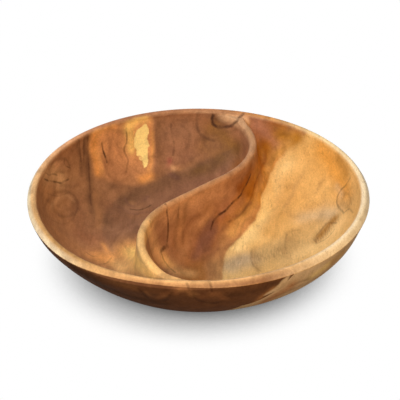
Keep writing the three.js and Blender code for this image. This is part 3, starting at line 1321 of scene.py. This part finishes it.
def layer_shade(tree, place, value):
    """Fine growth layers: darker bands that come and go."""
    bend = calc(tree, "MULTIPLY", noise(tree, place, layer_bend, 1.5), bend_swing)
    layers = calc(tree, "ADD", calc(tree, "MULTIPLY", value, layer_share), bend)
    wave = calc(tree, "SINE", calc(tree, "MULTIPLY", layers, layer_rate))
    band = fade(tree, wave, -0.2, 1.0)
    come = fade(tree, noise(tree, place, layer_patches, 2.0), 0.38, 0.58)
    return calc(tree, "MULTIPLY", band, come)


def sap_streaks(tree, place):
    """Short dark streaks along the trunk, in patches."""
    streak = fade(tree, noise(tree, place, streak_size, 3.0), 0.54, 0.7)
    patch = fade(tree, noise(tree, place, streak_patches, 2.0), 0.46, 0.6)
    return calc(tree, "MULTIPLY", streak, patch)


def sap_hatch(tree, place):
    """Short dark strokes that stand close together in a few fields."""
    stroke = fade(tree, noise(tree, place, torn_size, 3.0), 0.4, 0.68)
    return calc(tree, "MULTIPLY", stroke, figure(tree, "hatch"))


def drawn_line(tree, place):
    """The dark lines, with an edge that noise frays and a darkness that comes and goes."""
    fray = swing(tree, noise(tree, place, fray_size, 3.0), fray_swing)
    gap = calc(tree, "ADD", figure(tree, "line_gap"), fray)
    come = fade(tree, noise(tree, place, line_patches, 2.0), 0.35, 0.6, 0.45, 1.0)
    strength = calc(tree, "MULTIPLY", figure(tree, "line_strength"), come)
    return calc(tree, "MULTIPLY", fade(tree, gap, *line_edge), strength)


def lay_marks(tree, place, value, sap, color):
    """The colour with layers, streaks, torn fibres and dark lines laid over it in turn."""
    layers = fade(tree, sap, 0.0, 1.0, *layer_strengths)
    streaks = fade(tree, sap, 0.0, 1.0, *streak_strengths)
    marks = [
        (calc(tree, "MULTIPLY", layer_shade(tree, place, value), layers), layer_brown),
        (calc(tree, "MULTIPLY", sap_streaks(tree, place), streaks), streak_brown),
        (sap_hatch(tree, place), torn_brown),
        (drawn_line(tree, place), line_brown),
    ]
    for share, brown in marks:
        color = blend(tree, share, color, rgb(brown))
    return color


# %% The finish: fibres, pores and sheen
oiled_gloss = 0.09
dry_gloss = 0.02
dry_dullness = 0.25
satin = (0.5, 0.4)
fibre_size = (1.4, 22, 1.4)
fibre_tints = ((0.965, 0.96, 0.955), (1.04, 1.04, 1.04))
speckle_size = (1.6, 1.6, 1.6)
speckle_tints = ((0.94, 0.935, 0.93), (1.06, 1.065, 1.07))
pore_size = (0.6, 5.5, 0.6)
pore_dark = 0.12
pore_dull = 0.15
fibre_height = 0.35
relief_strength = 0.3
relief_depth = 0.12 * mm


def make_teak(name, specular, dull):
    """The finish of one surface: how much it mirrors, and how dull it is on top of the satin."""
    material = bpy.data.materials.new(name)
    material.use_nodes = True
    tree = material.node_tree
    shader = tree.nodes["Principled BSDF"]
    shader.inputs["Specular IOR Level"].default_value = specular
    place = add_node(tree, "ShaderNodeTexCoord").outputs["Object"]
    value, sap, color = wood_color(tree, place)
    color = lay_marks(tree, place, value, sap, color)
    fibre = noise(tree, place, fibre_size, 3.0, 0.6)
    color = tone(tree, color, fade(tree, fibre, 0.3, 0.7), *fibre_tints)
    speckle = fade(tree, noise(tree, place, speckle_size, 2.0), 0.35, 0.65)
    color = tone(tree, color, speckle, *speckle_tints)
    pore = fade(tree, noise(tree, place, pore_size, 1.0, 0.5), 0.64, 0.74)
    color = blend(tree, calc(tree, "MULTIPLY", pore, pore_dark), color, rgb(layer_brown))
    tree.links.new(color, shader.inputs["Base Color"])
    sheen = fade(tree, fibre, 0.25, 0.75, satin[0] + dull, satin[1] + dull)
    roughness = calc(tree, "ADD", sheen, calc(tree, "MULTIPLY", pore, pore_dull))
    tree.links.new(roughness, shader.inputs["Roughness"])
    height = calc(tree, "SUBTRACT", calc(tree, "MULTIPLY", fibre, fibre_height), pore)
    sockets = {"Height": height, "Strength": relief_strength, "Distance": relief_depth}
    relief = add_node(tree, "ShaderNodeBump", sockets)
    tree.links.new(relief.outputs["Normal"], shader.inputs["Normal"])
    print(name, "has", len(tree.nodes), "nodes")
    return material


def finish_outside(piece):
    """Gives the faces of the outer wall and the base their own finish."""
    faces = piece.data.polygons
    flat = np.empty(len(faces) * 3)
    faces.foreach_get("center", flat)
    outside = on_outside(flat.reshape(-1, 3) / mm)
    faces.foreach_set("material_index", outside.astype(np.int32))
    print(int(outside.sum()), "faces are dry")


shell.data.materials.append(make_teak("shell_teak", oiled_gloss, 0.0))
shell.data.materials.append(make_teak("dry_teak", dry_gloss, dry_dullness))
finish_outside(shell)
divider.data.materials.append(make_teak("divider_teak", oiled_gloss, 0.0))

# %% [markdown]
# Join the frame
#
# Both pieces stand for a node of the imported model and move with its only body.

# %% Pieces on the frame
for piece, node, slot in ((shell, "bowl_shell", "shell_wood"), (divider, "s_divider", "divider_wood")):
    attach(piece, "root")
    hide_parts(node)
    print(piece.name, "stands for", node)

# %% [markdown]
# Floor
#
# The bowl stands on a white sweep, with a soft shadow close under its wall. The camera and the
# gloss see a white floor that darkens by how much of the sky the bowl hides from it, a little more
# on the left and in front, as in the photo. For all other light the floor is dark, because a white
# one would throw light up under the bowl, where the photo is dark.

# %% White floor
floor_half = 4.0
shadow_lean = {"X": 0.02, "Y": 0.03, "Z": 1.0}
shadow_reach = 0.2
shadow_dark = 0.1
shadow_end = 0.55
shadow_rays = 24
under_grey = (0.08, 0.08, 0.08, 1)
floor_mesh = bpy.data.meshes.new("studio_floor")
floor_corners = [(x * floor_half, y * floor_half, 0) for x, y in ((-1, -1), (1, -1), (1, 1), (-1, 1))]
floor_mesh.from_pydata(floor_corners, [], [(0, 1, 2, 3)])
studio_floor = bpy.data.objects.new("studio_floor", floor_mesh)
bpy.context.scene.collection.objects.link(studio_floor)


def seen_directly(tree):
    """1 where the camera, a reflection or clear glass sees a surface, else 0."""
    path = add_node(tree, "ShaderNodeLightPath")
    seen = calc(tree, "MAXIMUM", path.outputs["Is Camera Ray"], path.outputs["Is Glossy Ray"])
    return calc(tree, "MAXIMUM", seen, path.outputs["Is Transmission Ray"])


def make_floor_paint():
    """White with the bowl's soft shadow for the camera, and dark for the light under the bowl."""
    material = bpy.data.materials.new("floor_paint")
    material.use_nodes = True
    tree = material.node_tree
    tree.nodes.clear()
    lean = add_node(tree, "ShaderNodeCombineXYZ", shadow_lean)
    upward = add_node(tree, "ShaderNodeVectorMath", {0: lean.outputs[0]}, operation="NORMALIZE")
    sockets = {"Distance": shadow_reach, "Normal": upward.outputs[0]}
    open_sky = add_node(tree, "ShaderNodeAmbientOcclusion", sockets, samples=shadow_rays).outputs["AO"]
    shadow = fade(tree, open_sky, 0.0, shadow_end, shadow_dark, 1.0)
    glow = add_node(tree, "ShaderNodeEmission", {"Strength": shadow})
    dark = add_node(tree, "ShaderNodeBsdfDiffuse", {"Color": under_grey})
    sockets = {0: seen_directly(tree), 1: dark.outputs[0], 2: glow.outputs[0]}
    both = add_node(tree, "ShaderNodeMixShader", sockets)
    add_node(tree, "ShaderNodeOutputMaterial", {"Surface": both.outputs[0]})
    return material


floor_mesh.materials.append(make_floor_paint())
print("floor", 2 * floor_half, "m wide")

# %% [markdown]
# Light
#
# The photo has a soft light from above, which brightens the rim all round, and a warm key from
# the front right, which throws the divider's shadow to the left. The rest of the room is dim.

# %% World, top light and key
world = bpy.data.worlds.new("studio")
bpy.context.scene.world = world
world.use_nodes = True
sky = world.node_tree
sky.nodes.clear()
dim = add_node(sky, "ShaderNodeBackground", {"Color": (0.9, 0.95, 1.0, 1), "Strength": 0.12})
white = add_node(sky, "ShaderNodeBackground", {"Color": (1, 1, 1, 1), "Strength": 1.0})
sky_sockets = {0: seen_directly(sky), 1: dim.outputs[0], 2: white.outputs[0]}
sky_mix = add_node(sky, "ShaderNodeMixShader", sky_sockets)
add_node(sky, "ShaderNodeOutputWorld", {"Surface": sky_mix.outputs[0]})


def add_light(name, energy, color, shape, size, place):
    """A lamp that faces the middle of the base; its size and its place are in metres."""
    lamp = bpy.data.lights.new(name, "AREA")
    lamp.energy = energy
    lamp.color = color
    lamp.shape = shape
    lamp.size = size
    holder = bpy.data.objects.new(name, lamp)
    holder.location = place
    holder.rotation_euler = holder.location.to_track_quat("Z", "Y").to_euler()
    bpy.context.scene.collection.objects.link(holder)
    return holder


add_light(
    "top_light",
    energy=19.6,
    color=(0.88, 0.95, 1.0),
    shape="SQUARE",
    size=1.6,
    place=(-0.6, -0.2, 1.1),
)
key_light = add_light(
    "key_light",
    energy=5.7,
    color=(1.0, 0.81, 0.51),
    shape="DISK",
    size=0.05,
    place=(0.25, -0.86, 0.45),
)
print("key stands", round(key_light.location.length, 2), "m from the bowl")
